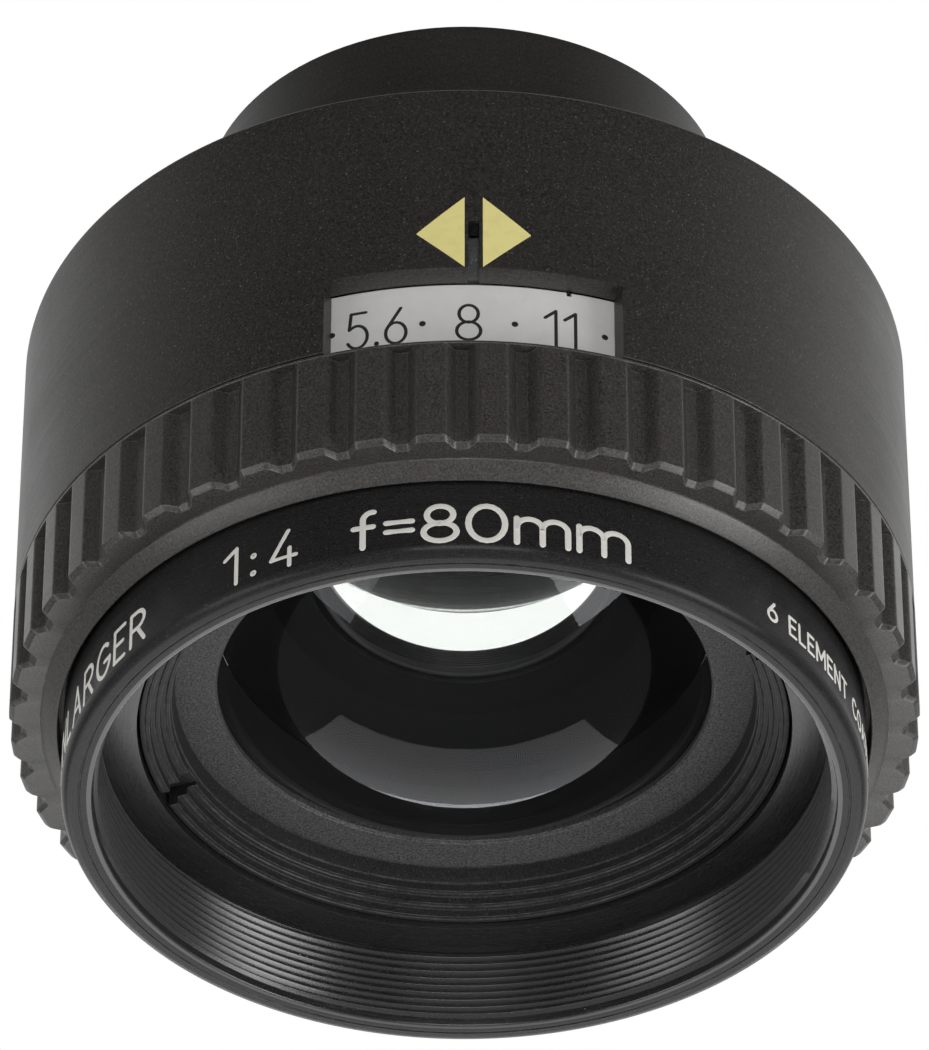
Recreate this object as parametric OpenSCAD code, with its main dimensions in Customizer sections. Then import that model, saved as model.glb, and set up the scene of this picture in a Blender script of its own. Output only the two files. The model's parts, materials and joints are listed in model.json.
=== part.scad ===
// Enlarging lens, 80 mm f/4, six glasses in four groups, with a five-blade iris.
// Frame: +Z runs along the mount thread towards the enlarger, the origin is the centre of the
// seating face, and the front of the lens hangs down towards -Z. The index mark faces -Y.
// Radii are measured from the optical axis. Heights ending in _z are signed: the front is negative.

/* [Mount thread] */
// Crest radius of the mount thread
mount_r = 19.5; // [19.4:0.05:19.6]
// Pitch of the mount thread
mount_pitch = 0.977; // [0.9:0.001:1]
// How far the threaded spigot stands out behind the seating face
mount_len = 5.15; // [5.1:0.05:5.6]

/* [Shroud] */
// Outer radius of the shroud and of the grip ring
shroud_r = 25; // [24.9:0.05:25.4]
// Length of the shroud from the seating face
shroud_len = 18.1; // [18:0.05:18.15]
// Depth of the scale window's top edge below the seating face
window_top = 13.1; // [13:0.05:13.4]
// Half of the angle that the scale window covers
window_half_angle = 18.65; // [17:0.05:20]
// Width of the index slot
index_slot_w = 0.6; // [0.4:0.05:0.8]

/* [Grip ring] */
// Number of grooves round the grip ring
grooves = 48; // [36:1:54]
// Depth of one groove
groove_depth = 0.65; // [0.4:0.05:0.8]
// Depth of the grip ring's front face below the seating face
grip_front = 25; // [24.9:0.05:25.1]

/* [Front tube] */
// Outer radius of the front tube
tube_r = 22; // [21.9:0.05:22.05]
// Depth of the front rim below the seating face
tube_front = 30.25; // [30:0.05:30.5]
// Crest radius of the filter thread
filter_r = 19.98; // [19.9:0.01:20.05]
// Pitch of the filter thread
filter_pitch = 0.5; // [0.48:0.01:0.5]

/* [Aperture] */
// Turn of the aperture ring from one stop to the next, in degrees
stop_turn = 12; // [11:0.5:12]
// Radius of the fully open iris
iris_open_r = 8.7; // [8.6:0.05:8.75]
// Radius of the smallest iris opening
iris_small_r = 1.55; // [1.4:0.05:1.8]

/* [Rear cell] */
// Outer radius of the rear cell
rear_r = 15.08; // [15:0.01:15.09]
// Height of the rear cell's rim above the seating face
rear_len = 14.17; // [14:0.05:14.5]

/* [Hidden] */
$fn = 96;

index_angle = -90;      // the index, the slot and the window face -Y
gap = 0.05;             // clearance between neighbouring pieces, all round
fit_gap = 0.02;         // clearance between pieces that are pressed or screwed together
past = 0.5;             // how far a cutting body runs past the face it cuts

// The stops are f/4, 5.6, 8, 11, 16 and 22. The part is drawn at f/8; turning by + opens the iris.
turn_open = 2 * stop_turn;
turn_small = 3 * stop_turn;
turn_total = turn_open + turn_small;

// ---- Barrel ----
barrel_r = 19.72;                       // the aperture carrier runs on this tube
barrel_bore = 17.45;
barrel_front_z = -24.35;
cell_bore = rear_r + fit_gap;
flange_r = 23;
flange_rear_z = -1.4;
flange_front_z = -3.4;
collar_r = 21.9;
collar_front_z = -6.4;
iris_seat_z = -5.1;
recess_r = 17.6;                        // light falls into this recess behind the flange
recess_floor_z = 1.5;
spigot_r = 19.3;
skirt_r = 19;                           // skirt of the front tube, screwed into the barrel
skirt_rear_z = -20.2;
skirt_room = 0.3;                       // the barrel's counterbore runs this far past the skirt
thread_land = 0.2;                      // flat on top of each mount thread crest
thread_depth = 0.55;
thread_lead = 0.1;                      // the last crest is turned down by this much

// ---- Shroud ----
shroud_bore = 23.7;
edge_chamfer = 0.3;
index_slot_top_z = -9.7;
shroud_screw_pitch_r = 21.6;
shroud_screw_angles = [90, 210, 330];
screw_shank_r = 0.7;
screw_head_r = 1.25;
screw_cut_w = 0.4;                      // the screwdriver cut in the head
screw_cut_depth = 0.35;
screw_tip_gap = 0.1;                    // the shank stops this far short of the flange's front face
screw_neck_z = -0.2;                    // the shank runs up into the head to here

// ---- Light guide: a tab in the recess, a run under the web and an apron behind the slot ----
guide_width = 26;                       // angle that it covers
guide_tab_r = recess_r - 0.2;
guide_inner_r = 15.9;
guide_rear_z = 1.2;
guide_apron_r = 23.45;
guide_apron_t = 1.2;
guide_gap = 0.1;
guide_lap = 0.25;                       // the apron stops this far behind the scale ring

// ---- Aperture carrier, scale ring, grip ring ----
carrier_bore = barrel_r + gap;
carrier_r = 21.95;
carrier_rear_z = -6.5;
carrier_front_z = -24;
scale_r = 23.6;
scale_rear_z = -12.85;
scale_front_z = -18.05;
scale_notch_angle = 12.6;               // a small witness notch in the scale's rear edge
scale_notch_w = 0.24;
scale_notch_depth = 0.28;
grip_rear_z = -18.2;
grip_front_z = -grip_front;
grip_lip_r = 22.3;
groove_phase = -1.45;                   // the groove nearest the index sits this far round
groove_floor_w = 0.7;
groove_mouth_w = 1.75;
grip_chamfer = 0.3;
groove_end_t = 0.2;                     // thin rim left standing at the rear end of the grooves
grip_face_r = 23.3;                     // outer edge of the cone between the front face and the lip
grip_lip = 0.85;                        // the lip stands this far in front of the front face

// ---- Front tube and its stepped retaining ring ----
tube_front_z = -tube_front;
tube_rear_z = -24.4;
tube_round = 0.6;
face_groove_r = 21;                     // a fine turned line round the front rim
face_groove_w = 0.1;
face_groove_depth = 0.06;
rim_r = 20.3;
rim_depth = 0.5;                        // depth of the plain mouth in front of the filter thread
filter_root_r = filter_r + 0.27;
filter_front_z = -29.4;
filter_crests = 8;
filter_full_crests = 4;                 // the deeper crests, level with the glass, stand back
filter_relief = 0.22;
filter_land = 0.1;                      // flat on top of each filter thread crest
filter_flank = 0.17;                    // height of one sloping flank
shelf_z = -25.15;
shelf_r = 18;
step_r = 17.85;                         // outer radius of the stepped ring's first tread
step_z = -24.83;
tread = 0.55;
riser = 0.5;
step_count = 3;
spanner_angles = [158, 338];
spanner_w = 1.2;
spanner_depth = 1.3;                    // depth of the spanner notches below the first tread
ring_skirt_z = -24;                     // the stepped ring widens to the shelf's bore from here back
ring_skirt_r = shelf_r - 0.03;

// ---- Glasses: [vertex heights] and radii of curvature, front half and rear half ----
front_vertex_z = -27.5;
front_r1 = 19;                          // front face of the crown
front_r2 = 90;                          // cemented face, curved the other way
front_r3 = 13.1;                        // hollow rear face of the flint
front_r4 = 20;                          // front face of the meniscus
front_r5 = 32;                          // rear face of the meniscus
crown_t = 8.8;
flint_t = 3.2;
air_t = 2;
meniscus_t = 2.6;
front_doublet_r = 14.3;
front_hollow_r = 9.8;                   // where the hollow face meets the flint's flat edge
front_flat_r = 11.4;
front_meniscus_r = 10.6;
front_clear_r = 13.65;
front_spacer_t = 0.35;
front_spacer_bore = 10.25;
front_stop_bore = 9.2;                  // bore of the ring that holds the meniscus in

rear_scale = 0.95;                      // the rear half mirrors the front half, a little smaller
rear_r1 = front_r5 * rear_scale;
rear_r2 = front_r4 * rear_scale;
rear_r3 = front_r3 * rear_scale;
rear_r4 = front_r2 * rear_scale;
rear_r5 = front_r1 * rear_scale;
rear_meniscus_z = -2.1;
rear_meniscus_t = 2.5;
rear_air_t = 1.8;
rear_flint_t = 3;
rear_crown_t = 8.4;
rear_doublet_r = 13.3;
rear_hollow_r = 9.3;
rear_flat_r = 10.8;
rear_meniscus_r = 10.07;
rear_clear_r = 12.6;
rear_spacer_t = 0.26;
rear_spacer_bore = 9.75;
rear_stop_bore = 8.9;

front_crown_rear_z = front_vertex_z + crown_t;
front_flint_rear_z = front_crown_rear_z + flint_t;
front_meniscus_z = front_flint_rear_z + air_t;
front_meniscus_rear_z = front_meniscus_z + meniscus_t;
rear_meniscus_rear_z = rear_meniscus_z + rear_meniscus_t;
rear_flint_z = rear_meniscus_rear_z + rear_air_t;
rear_crown_z = rear_flint_z + rear_flint_t;
rear_vertex_z = rear_crown_z + rear_crown_t;

// Height by which a sphere of radius r_curve falls away from its vertex at radius r
function sag(r_curve, r) = r_curve - sqrt(r_curve * r_curve - r * r);

front_flat_z = front_flint_rear_z + sag(front_r3, front_hollow_r);
rear_flat_z = rear_flint_z - sag(rear_r3, rear_hollow_r);
doublet_seat_z = -16.5;                 // the front flint's cone starts here
rear_seat_z = 3.2;

// ---- Front cell ----
cell_r = 17.4;
cell_front_z = -22.3;
cell_rear_z = -10.65;
nose_r = 12.4;
nose_rear_z = -8.3;
retainer_r = 16.15;
retainer_lip = 0.5;
retainer_rear_z = -20.7;
retainer_room = 0.1;                    // its recess in the cell runs this far past it
retainer_bevel = 0.12;
retainer_glass_gap = 0.15;              // clearance round the crown's edge
meniscus_ring_r = 10.95;
meniscus_ring_depth = 0.75;
stop_lift = 0.07;                       // the meniscus rings stand this far off their seats
meniscus_room = 6;                      // height of the blank that a meniscus is ground from

// ---- Rear cell ----
rear_cell_front_z = -4.9;
rear_ring_r = 14;
rear_ring_z = 8.52;
rear_ring_top_z = 11.5;
rear_stop_ring_r = 10.6;
rear_stop_depth = 1.1;
rear_stop_inset = 0.2;                  // the rear meniscus ring lies this far inside the cell
rear_ring_room = 0.6;                   // the retaining ring's recess runs this far past it
rear_ring_flare = 0.8;                  // its bore opens out by this much towards the rear
rear_notch_depth = 0.8;

// ---- Iris ----
blades = 5;
blade_pitch = 360 / blades;
blade_t = 0.15;
blade_step = blade_t + gap;
blade_outer_r = 15;
blade_span = 110;
pivot_r = 16;
pin_r = 0.5;
pin_lobe_r = 1.15;
cam_pin_angle = 20;
blade_swing = 2 * asin((iris_open_r - iris_small_r) / (2 * pivot_r));
rest_swing = blade_swing * turn_open / turn_total;
base_bore = iris_open_r + 0.1;
base_r = 17.4;
base_rear_z = iris_seat_z - gap;
base_front_z = base_rear_z - 0.75;
blades_rear_z = base_front_z - gap;
cam_rear_z = blades_rear_z - blades * blade_step;
cam_front_z = cam_rear_z - 0.8;
cam_r = 17.35;
cam_rim_bore = 16.75;
cam_rim_front_z = -9.9;
slot_half_w = pin_r + 0.06;
slot_steps = 24;
clamp_rear_z = cam_rim_front_z - 0.15;
clamp_front_z = cell_rear_z + gap;
clamp_bore = 16;

// ---- Drive screw, click ball and its spring ----
drive_angle = 90;
drive_z = -8.9;
drive_tip_r = 0.6;
drive_reach_r = 16.85;                  // its tip stops just inside the cam ring's rim
drive_head_r = 1;
drive_head_seat_r = carrier_bore + 0.2;
drive_sink = 0.15;                      // the head's top lies this far below the carrier's face
drive_slot_margin = 0.4;                // the barrel's slot runs on this many degrees at each end
drive_cut = 0.3;                        // width of the screwdriver cut, and its depth
click_pitch = stop_turn / 2;
click_r = 20.95;
ball_r = 0.75;
ball_hole_r = 0.8;
ball_hole_rear_z = -2.5;
ball_z = carrier_rear_z + fit_gap + ball_r;
click_travel = 0.2;
spring_wire_r = 0.11;
spring_r = 0.55;
spring_turns = 5;
spring_seat = 0.62;                     // height of the spring's front end above the ball's centre

// ======== Helpers ========

// A ring with plain walls between two heights
module ring(outer_r, inner_r, low_z, high_z) {
    translate([0, 0, low_z])
        difference() {
            cylinder(r = outer_r, h = high_z - low_z);
            translate([0, 0, -past]) cylinder(r = inner_r, h = high_z - low_z + 2 * past);
        }
}

// A turned piece from its half section, a list of [radius, height]
module turned(section) rotate_extrude() polygon(section);

// Part of a turned piece: the half section swept over an arc centred on a direction
module swept(section, centre, width) {
    rotate([0, 0, centre - width / 2]) rotate_extrude(angle = width) polygon(section);
}

// Things placed at several angles round the axis
module around(angles) for (a = angles) rotate([0, 0, a]) children();

// A ball whose lowest or highest point sits at vertex_z. side = 1 puts the ball above it.
module dome(vertex_z, r_curve, side) {
    translate([0, 0, vertex_z + side * r_curve]) sphere(r = r_curve, $fn = 180);
}

// Points of an arc in the half plane, from one angle to another
function arc(centre, r, from, to, steps) =
    [for (i = [0:steps]) centre + r * [cos(from + (to - from) * i / steps),
                                       sin(from + (to - from) * i / steps)]];

function flat_points(lists) = [for (list = lists) for (p = list) p];

function spun(p, a) = [p[0] * cos(a) - p[1] * sin(a), p[0] * sin(a) + p[1] * cos(a)];

// ======== Barrel, shroud and light guide ========

// Crests of the mount thread, as separate ridges, seen as a section
function mount_crests() =
    let (slope = (mount_pitch - thread_land) / 2 * 0.75,
         count = floor((mount_len - thread_land) / mount_pitch))
    flat_points([for (i = [0:count])
        let (z = i * mount_pitch)
        [[mount_r, z], [mount_r, z + thread_land],
         each i < count ? [[mount_r - thread_depth, z + thread_land + slope],
                           [mount_r - thread_depth, z + mount_pitch - slope]] : []]]);

module barrel_solid() {
    turned(concat(
        [[recess_r, mount_len], [recess_r, recess_floor_z], [cell_bore, recess_floor_z],
         [cell_bore, iris_seat_z], [barrel_bore, iris_seat_z],
         [barrel_bore, skirt_rear_z + skirt_room], [skirt_r + gap, skirt_rear_z + skirt_room],
         [skirt_r + gap, barrel_front_z], [barrel_r, barrel_front_z],
         [barrel_r, collar_front_z], [collar_r, collar_front_z], [collar_r, flange_front_z],
         [flange_r, flange_front_z], [flange_r, flange_rear_z], [spigot_r, flange_rear_z],
         [spigot_r, 0]],
        mount_crests(),
        [[mount_r - thread_lead, mount_len]]));
}

module light_guide_slot() {
    inner = guide_inner_r - guide_gap;
    outer = guide_tab_r + guide_gap;
    swept([[inner, recess_floor_z + past], [outer, recess_floor_z + past],
           [outer, flange_rear_z + gap], [flange_r + past, flange_rear_z + gap],
           [flange_r + past, flange_front_z], [inner, flange_front_z]],
          index_angle, guide_width + 1);
}

module drive_slot() {
    margin = asin(drive_tip_r / barrel_bore) + drive_slot_margin;
    centre = drive_angle + (turn_open - turn_small) / 2;
    low = drive_z - drive_tip_r - gap;
    high = drive_z + drive_tip_r + gap;
    swept([[barrel_bore - past, low], [barrel_r + past, low],
           [barrel_r + past, high], [barrel_bore - past, high]],
          centre, turn_total + 2 * margin);
}

module mount_barrel() {
    color("#202020")
    difference() {
        barrel_solid();
        light_guide_slot();
        drive_slot();
        translate([click_r, 0, collar_front_z - past])
            cylinder(r = ball_hole_r, h = ball_hole_rear_z - collar_front_z + past);
        around(shroud_screw_angles)
            translate([shroud_screw_pitch_r, 0, flange_front_z - past])
                cylinder(r = screw_shank_r + fit_gap, h = flange_rear_z - flange_front_z + 2 * past);
    }
}

module shroud() {
    low = -shroud_len;
    window = [[shroud_bore - past, low - past], [shroud_r + past, low - past],
              [shroud_r + past, -window_top], [shroud_bore - past, -window_top]];
    color("#242322")
    difference() {
        turned([[mount_r + gap, 0], [shroud_r - edge_chamfer, 0], [shroud_r, -edge_chamfer],
                [shroud_r, low], [shroud_bore, low], [shroud_bore, flange_rear_z],
                [mount_r + gap, flange_rear_z]]);
        swept(window, index_angle, 2 * window_half_angle);
        rotate([0, 0, index_angle])
            translate([shroud_bore - past, -index_slot_w / 2, -window_top - past])
                cube([shroud_r - shroud_bore + 2 * past, index_slot_w,
                      index_slot_top_z + window_top + past]);
        around(shroud_screw_angles) translate([shroud_screw_pitch_r, 0, 0]) {
            translate([0, 0, flange_rear_z - past])
                cylinder(r = screw_shank_r + gap, h = past - flange_rear_z + past);
            countersink(gap, past);
        }
    }
}

// The cone that a countersunk head fills, grown by a clearance and run on past the face
module countersink(clear, over) {
    depth = screw_head_r - screw_shank_r;
    translate([0, 0, -depth])
        cylinder(r1 = screw_shank_r + clear, r2 = screw_head_r + clear, h = depth);
    if (over > 0) translate([0, 0, -0.01]) cylinder(r = screw_head_r + clear, h = over);
}

module shroud_screws() {
    color("#6f6f70")
    around(shroud_screw_angles) translate([shroud_screw_pitch_r, 0, 0])
        difference() {
            union() {
                countersink(0, 0);
                translate([0, 0, flange_front_z + screw_tip_gap])
                    cylinder(r = screw_shank_r,
                             h = screw_neck_z - flange_front_z - screw_tip_gap);
            }
            translate([-screw_cut_w / 2, -screw_head_r - past, -screw_cut_depth])
                cube([screw_cut_w, 2 * (screw_head_r + past), screw_cut_depth + past]);
        }
}

// Clear plastic that carries light from the rear recess to the back of the slot and the scale
module light_guide() {
    top_z = flange_rear_z - guide_gap;
    under_z = flange_front_z + guide_gap;
    apron_front_z = scale_rear_z + guide_lap;
    apron_inner_r = guide_apron_r - guide_apron_t;
    color("#e8efe6", 0.6)
    swept([[guide_inner_r, guide_rear_z], [guide_tab_r, guide_rear_z], [guide_tab_r, top_z],
           [guide_apron_r, top_z], [guide_apron_r, apron_front_z],
           [apron_inner_r, apron_front_z], [apron_inner_r, under_z], [guide_inner_r, under_z]],
          index_angle, guide_width);
}

// ======== Front tube, washer and stepped ring ========

function filter_crest_points() =
    flat_points([for (i = [0:filter_crests - 1])
        let (z = filter_front_z + filter_land + i * filter_pitch,
             crest_r = filter_r + (i < filter_full_crests ? 0 : filter_relief))
        [[crest_r, z], [crest_r, z + filter_land],
         [filter_root_r, z + filter_land + filter_flank],
         [filter_root_r, z + filter_pitch - filter_flank]]]);

module front_tube() {
    round_centre = [tube_r - tube_round, tube_front_z + tube_round];
    color("#1f1f20")
    turned(concat(
        [[tube_r, tube_rear_z]],
        arc(round_centre, tube_round, 0, -90, 8),
        [[face_groove_r + face_groove_w / 2, tube_front_z],
         [face_groove_r, tube_front_z + face_groove_depth],
         [face_groove_r - face_groove_w / 2, tube_front_z],
         [rim_r, tube_front_z], [rim_r, tube_front_z + rim_depth],
         [filter_r, filter_front_z - 0.2]],
        filter_crest_points(),
        [[filter_root_r, shelf_z], [shelf_r, shelf_z], [shelf_r, skirt_rear_z],
         [skirt_r, skirt_rear_z], [skirt_r, tube_rear_z]]));
}

module slip_washer() {
    color("#b9a46a")
    ring(carrier_r - gap, carrier_bore, barrel_front_z, carrier_front_z - gap);
}

module front_retaining_ring() {
    treads = flat_points([for (i = [0:step_count - 1])
        [[step_r - i * tread, step_z + i * riser],
         [step_r - (i + 1) * tread, step_z + i * riser]]]);
    inner = step_r - step_count * tread;
    inner_z = step_z + step_count * riser;
    color("#2a2a2b")
    difference() {
        turned(concat(
            treads,
            [[inner, inner_z], [inner - 0.1, inner_z], [inner - 0.25, cell_front_z - gap],
             [ring_skirt_r, cell_front_z - gap], [ring_skirt_r, ring_skirt_z],
             [step_r, ring_skirt_z]]));
        around(spanner_angles)
            translate([step_r - step_count * tread - past, -spanner_w / 2, step_z - past])
                cube([step_count * tread + 2 * past, spanner_w, past + spanner_depth]);
    }
}

// ======== Front cell and its glasses ========

module front_cell() {
    color("#262627")
    turned([[cell_r, cell_front_z], [cell_r, cell_rear_z], [nose_r, cell_rear_z],
            [nose_r, nose_rear_z], [meniscus_ring_r + gap, nose_rear_z],
            [meniscus_ring_r + gap, nose_rear_z - meniscus_ring_depth],
            [front_meniscus_r + gap, nose_rear_z - meniscus_ring_depth],
            [front_meniscus_r + gap, front_flat_z + gap],
            [front_flat_r + gap, front_flat_z + gap],
            [front_doublet_r + gap, doublet_seat_z],
            [front_doublet_r + gap, retainer_rear_z + retainer_room],
            [retainer_r + gap, retainer_rear_z + retainer_room],
            [retainer_r + gap, cell_front_z]]);
}

module front_glass_retainer() {
    color("#3b3b3c")
    turned([[front_clear_r, cell_front_z + retainer_bevel],
            [front_clear_r + retainer_bevel, cell_front_z],
            [retainer_r, cell_front_z], [retainer_r, retainer_rear_z],
            [front_doublet_r + retainer_glass_gap, retainer_rear_z],
            [front_doublet_r + retainer_glass_gap, cell_front_z + retainer_lip],
            [front_clear_r, cell_front_z + retainer_lip]]);
}

module front_crown_glass() {
    color("#bcd0e6", 0.35)
    intersection() {
        translate([0, 0, front_vertex_z]) cylinder(r = front_doublet_r, h = crown_t);
        dome(front_vertex_z, front_r1, 1);
        dome(front_crown_rear_z, front_r2, -1);
    }
}

// A bevelled disc with one shallow domed face and one deep hollow face
module flint(edge_r, cone_r, flat_z, seat_z, far_z, hollow_z, hollow_curve, hollow_side,
             domed_z, domed_curve) {
    difference() {
        turned([[0, far_z], [edge_r, far_z], [edge_r, seat_z], [cone_r, flat_z], [0, flat_z]]);
        dome(domed_z, domed_curve, -hollow_side);
        dome(hollow_z, hollow_curve, hollow_side);
    }
}

module front_flint_glass() {
    color("#c4d2de", 0.35)
    flint(front_doublet_r, front_flat_r, front_flat_z, doublet_seat_z - gap,
          front_crown_rear_z - 2, front_flint_rear_z, front_r3, 1,
          front_crown_rear_z, front_r2);
}

module front_spacer() {
    color("#1c1c1c")
    ring(front_meniscus_r, front_spacer_bore,
         front_flat_z + fit_gap, front_flat_z + fit_gap + front_spacer_t);
}

module front_meniscus_glass() {
    color("#c8d6c8", 0.35)
    difference() {
        intersection() {
            translate([0, 0, front_meniscus_z]) cylinder(r = front_meniscus_r, h = meniscus_room);
            dome(front_meniscus_z, front_r4, 1);
        }
        dome(front_meniscus_rear_z, front_r5, 1);
    }
}

module front_meniscus_retainer() {
    color("#1c1c1c")
    ring(meniscus_ring_r, front_stop_bore, nose_rear_z - meniscus_ring_depth + stop_lift, nose_rear_z);
}

// ======== Rear cell and its glasses ========

module rear_cell() {
    color("#232222")
    turned([[rear_r, rear_cell_front_z], [rear_r, rear_len - edge_chamfer],
            [rear_r - edge_chamfer, rear_len], [rear_ring_r + gap + edge_chamfer, rear_len],
            [rear_ring_r + gap, rear_len - edge_chamfer],
            [rear_ring_r + gap, rear_ring_z - rear_ring_room],
            [rear_doublet_r + gap, rear_ring_z - rear_ring_room],
            [rear_doublet_r + gap, rear_seat_z - gap],
            [rear_flat_r + gap, rear_flat_z - gap], [rear_meniscus_r + gap, rear_flat_z - gap],
            [rear_meniscus_r + gap, rear_cell_front_z + rear_stop_depth],
            [rear_stop_ring_r + gap, rear_cell_front_z + rear_stop_depth],
            [rear_stop_ring_r + gap, rear_cell_front_z]]);
}

module rear_glass_retainer() {
    color("#1d1d1d")
    difference() {
        turned([[rear_clear_r, rear_ring_z], [rear_ring_r, rear_ring_z],
                [rear_ring_r, rear_ring_top_z],
                [rear_clear_r + rear_ring_flare, rear_ring_top_z]]);
        around([0, 180])
            translate([rear_clear_r, -spanner_w / 2, rear_ring_top_z - rear_notch_depth])
                cube([rear_ring_r - rear_clear_r + past, spanner_w, rear_notch_depth + past]);
    }
}

module rear_crown_glass() {
    color("#bcd0e6", 0.35)
    intersection() {
        translate([0, 0, rear_crown_z]) cylinder(r = rear_doublet_r, h = rear_crown_t);
        dome(rear_vertex_z, rear_r5, -1);
        dome(rear_crown_z, rear_r4, 1);
    }
}

module rear_flint_glass() {
    color("#c4d2de", 0.35)
    flint(rear_doublet_r, rear_flat_r, rear_flat_z, rear_seat_z + gap,
          rear_crown_z + 2, rear_flint_z, rear_r3, -1,
          rear_crown_z, rear_r4);
}

module rear_spacer() {
    color("#1c1c1c")
    ring(rear_meniscus_r, rear_spacer_bore,
         rear_flat_z - fit_gap - rear_spacer_t, rear_flat_z - fit_gap);
}

module rear_meniscus_glass() {
    color("#c8d6c8", 0.35)
    difference() {
        intersection() {
            translate([0, 0, rear_meniscus_rear_z - meniscus_room])
                cylinder(r = rear_meniscus_r, h = meniscus_room);
            dome(rear_meniscus_rear_z, rear_r2, -1);
        }
        dome(rear_meniscus_z, rear_r1, -1);
    }
}

module rear_meniscus_retainer() {
    color("#1c1c1c")
    ring(rear_stop_ring_r, rear_stop_bore,
         rear_cell_front_z + rear_stop_inset, rear_cell_front_z + rear_stop_depth - stop_lift);
}

// ======== Iris ========

module iris_base() {
    color("#2b2b2c")
    difference() {
        ring(base_r, base_bore, base_front_z, base_rear_z);
        around([for (i = [0:blades - 1]) i * blade_pitch])
            translate([pivot_r, 0, base_front_z - past])
                cylinder(r = pin_r + gap, h = base_rear_z - base_front_z + 2 * past, $fn = 48);
    }
}

// One blade in its open place: a crescent concentric with the axis, with a lobe for each pin
module blade_outline() {
    difference() {
        circle(r = blade_outer_r);
        circle(r = iris_open_r);
        polygon([[0, 0], spun([30, 0], blade_span), spun([30, 0], 180),
                 spun([30, 0], 270), [30, 0]]);
    }
    for (a = [0, cam_pin_angle])
        rotate([0, 0, a]) {
            translate([pivot_r, 0]) circle(r = pin_lobe_r);
            translate([blade_outer_r - 1, -pin_lobe_r])
                square([pivot_r - blade_outer_r + 1, 2 * pin_lobe_r]);
        }
}

module blade_solid(level) {
    rear = -level * blade_step + blades_rear_z;
    translate([0, 0, rear - blade_t]) linear_extrude(blade_t) blade_outline();
    translate([pivot_r, 0, rear - blade_t / 2])
        cylinder(r = pin_r, h = base_rear_z - gap - rear + blade_t / 2, $fn = 48);
    rotate([0, 0, cam_pin_angle]) translate([pivot_r, 0, cam_front_z + gap])
        cylinder(r = pin_r, h = rear - cam_front_z - gap - blade_t / 2, $fn = 48);
}

// Blade number i, swung about its pivot to where it stands at f/8
module iris_blade(i) {
    color(i % 2 == 0 ? "#2a2a2c" : "#333335")
    rotate([0, 0, i * blade_pitch])
        translate([pivot_r, 0, 0]) rotate([0, 0, rest_swing]) translate([-pivot_r, 0, 0])
            blade_solid(i);
}

module iris_blade_1() iris_blade(0);
module iris_blade_2() iris_blade(1);
module iris_blade_3() iris_blade(2);
module iris_blade_4() iris_blade(3);
module iris_blade_5() iris_blade(4);

// Where the first blade's cam pin stands, seen from the cam ring, after a share of the full turn
function cam_pin_at(share) =
    let (home = spun([pivot_r, 0], cam_pin_angle) - [pivot_r, 0],
         place = [pivot_r, 0] + spun(home, blade_swing * share))
    spun(place, turn_total * share - turn_open);

function cam_slot_side(offset) =
    [for (i = [0:slot_steps])
        let (share = i / slot_steps,
             ahead = cam_pin_at(share + 0.001) - cam_pin_at(share - 0.001),
             across = [-ahead[1], ahead[0]] / norm(ahead))
        cam_pin_at(share) + offset * across];

module cam_slot() {
    back = cam_slot_side(-slot_half_w);
    linear_extrude(cam_rear_z - cam_front_z + 2 * past)
        polygon(concat(cam_slot_side(slot_half_w),
                       [for (i = [slot_steps:-1:0]) back[i]]));
    for (share = [0, 1])
        translate(cam_pin_at(share))
            cylinder(r = slot_half_w, h = cam_rear_z - cam_front_z + 2 * past, $fn = 48);
}

// Turns with the aperture ring: its spiral slots swing the blades
module iris_cam_ring() {
    color("#8d8d8a")
    difference() {
        turned([[base_bore, cam_rear_z - gap], [cam_r, cam_rear_z - gap],
                [cam_r, cam_rim_front_z], [cam_rim_bore, cam_rim_front_z],
                [cam_rim_bore, cam_front_z], [base_bore, cam_front_z]]);
        translate([0, 0, cam_front_z - past])
            around([for (i = [0:blades - 1]) i * blade_pitch]) cam_slot();
        rotate([0, 0, drive_angle]) translate([cam_rim_bore - past, 0, drive_z])
            rotate([0, 90, 0]) cylinder(r = drive_tip_r + gap, h = 2);
    }
}

module iris_clamp_ring() {
    color("#2b2b2c")
    ring(base_r, clamp_bore, clamp_front_z, clamp_rear_z);
}

// ======== Aperture drive ========

module drive_screw() {
    top = carrier_r - drive_sink;
    color("#7a7a7a")
    rotate([0, 0, drive_angle]) translate([0, 0, drive_z]) rotate([0, 90, 0])
        difference() {
            union() {
                translate([0, 0, drive_reach_r])
                    cylinder(r = drive_tip_r, h = drive_head_seat_r + gap - drive_reach_r);
                translate([0, 0, drive_head_seat_r])
                    cylinder(r = drive_head_r, h = top - drive_head_seat_r);
            }
            translate([-drive_head_r - past, -drive_cut / 2, top - drive_cut])
                cube([2 * (drive_head_r + past), drive_cut, drive_cut + past]);
        }
}

module aperture_carrier() {
    click_count = round(turn_total / click_pitch);
    color("#2c2c2c")
    difference() {
        ring(carrier_r, carrier_bore, carrier_front_z, carrier_rear_z);
        for (i = [0:click_count])
            rotate([0, 0, turn_small - i * click_pitch])
                translate([click_r, 0, ball_z - click_travel]) sphere(r = ball_hole_r, $fn = 48);
        rotate([0, 0, drive_angle]) translate([0, 0, drive_z]) rotate([0, 90, 0]) {
            translate([0, 0, drive_head_seat_r - gap])
                cylinder(r = drive_head_r + gap, h = carrier_r - drive_head_seat_r + past);
            translate([0, 0, barrel_r - past]) cylinder(r = drive_tip_r + gap, h = 2);
        }
    }
}

// The silvered scale that shows in the window
module scale_ring() {
    color("#cfcfcb")
    difference() {
        ring(scale_r, carrier_r + fit_gap, scale_front_z, scale_rear_z);
        rotate([0, 0, index_angle + scale_notch_angle])
            translate([scale_r - 0.6, -scale_notch_w / 2, scale_rear_z - scale_notch_depth])
                cube([1, scale_notch_w, 1]);
    }
}

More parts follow.
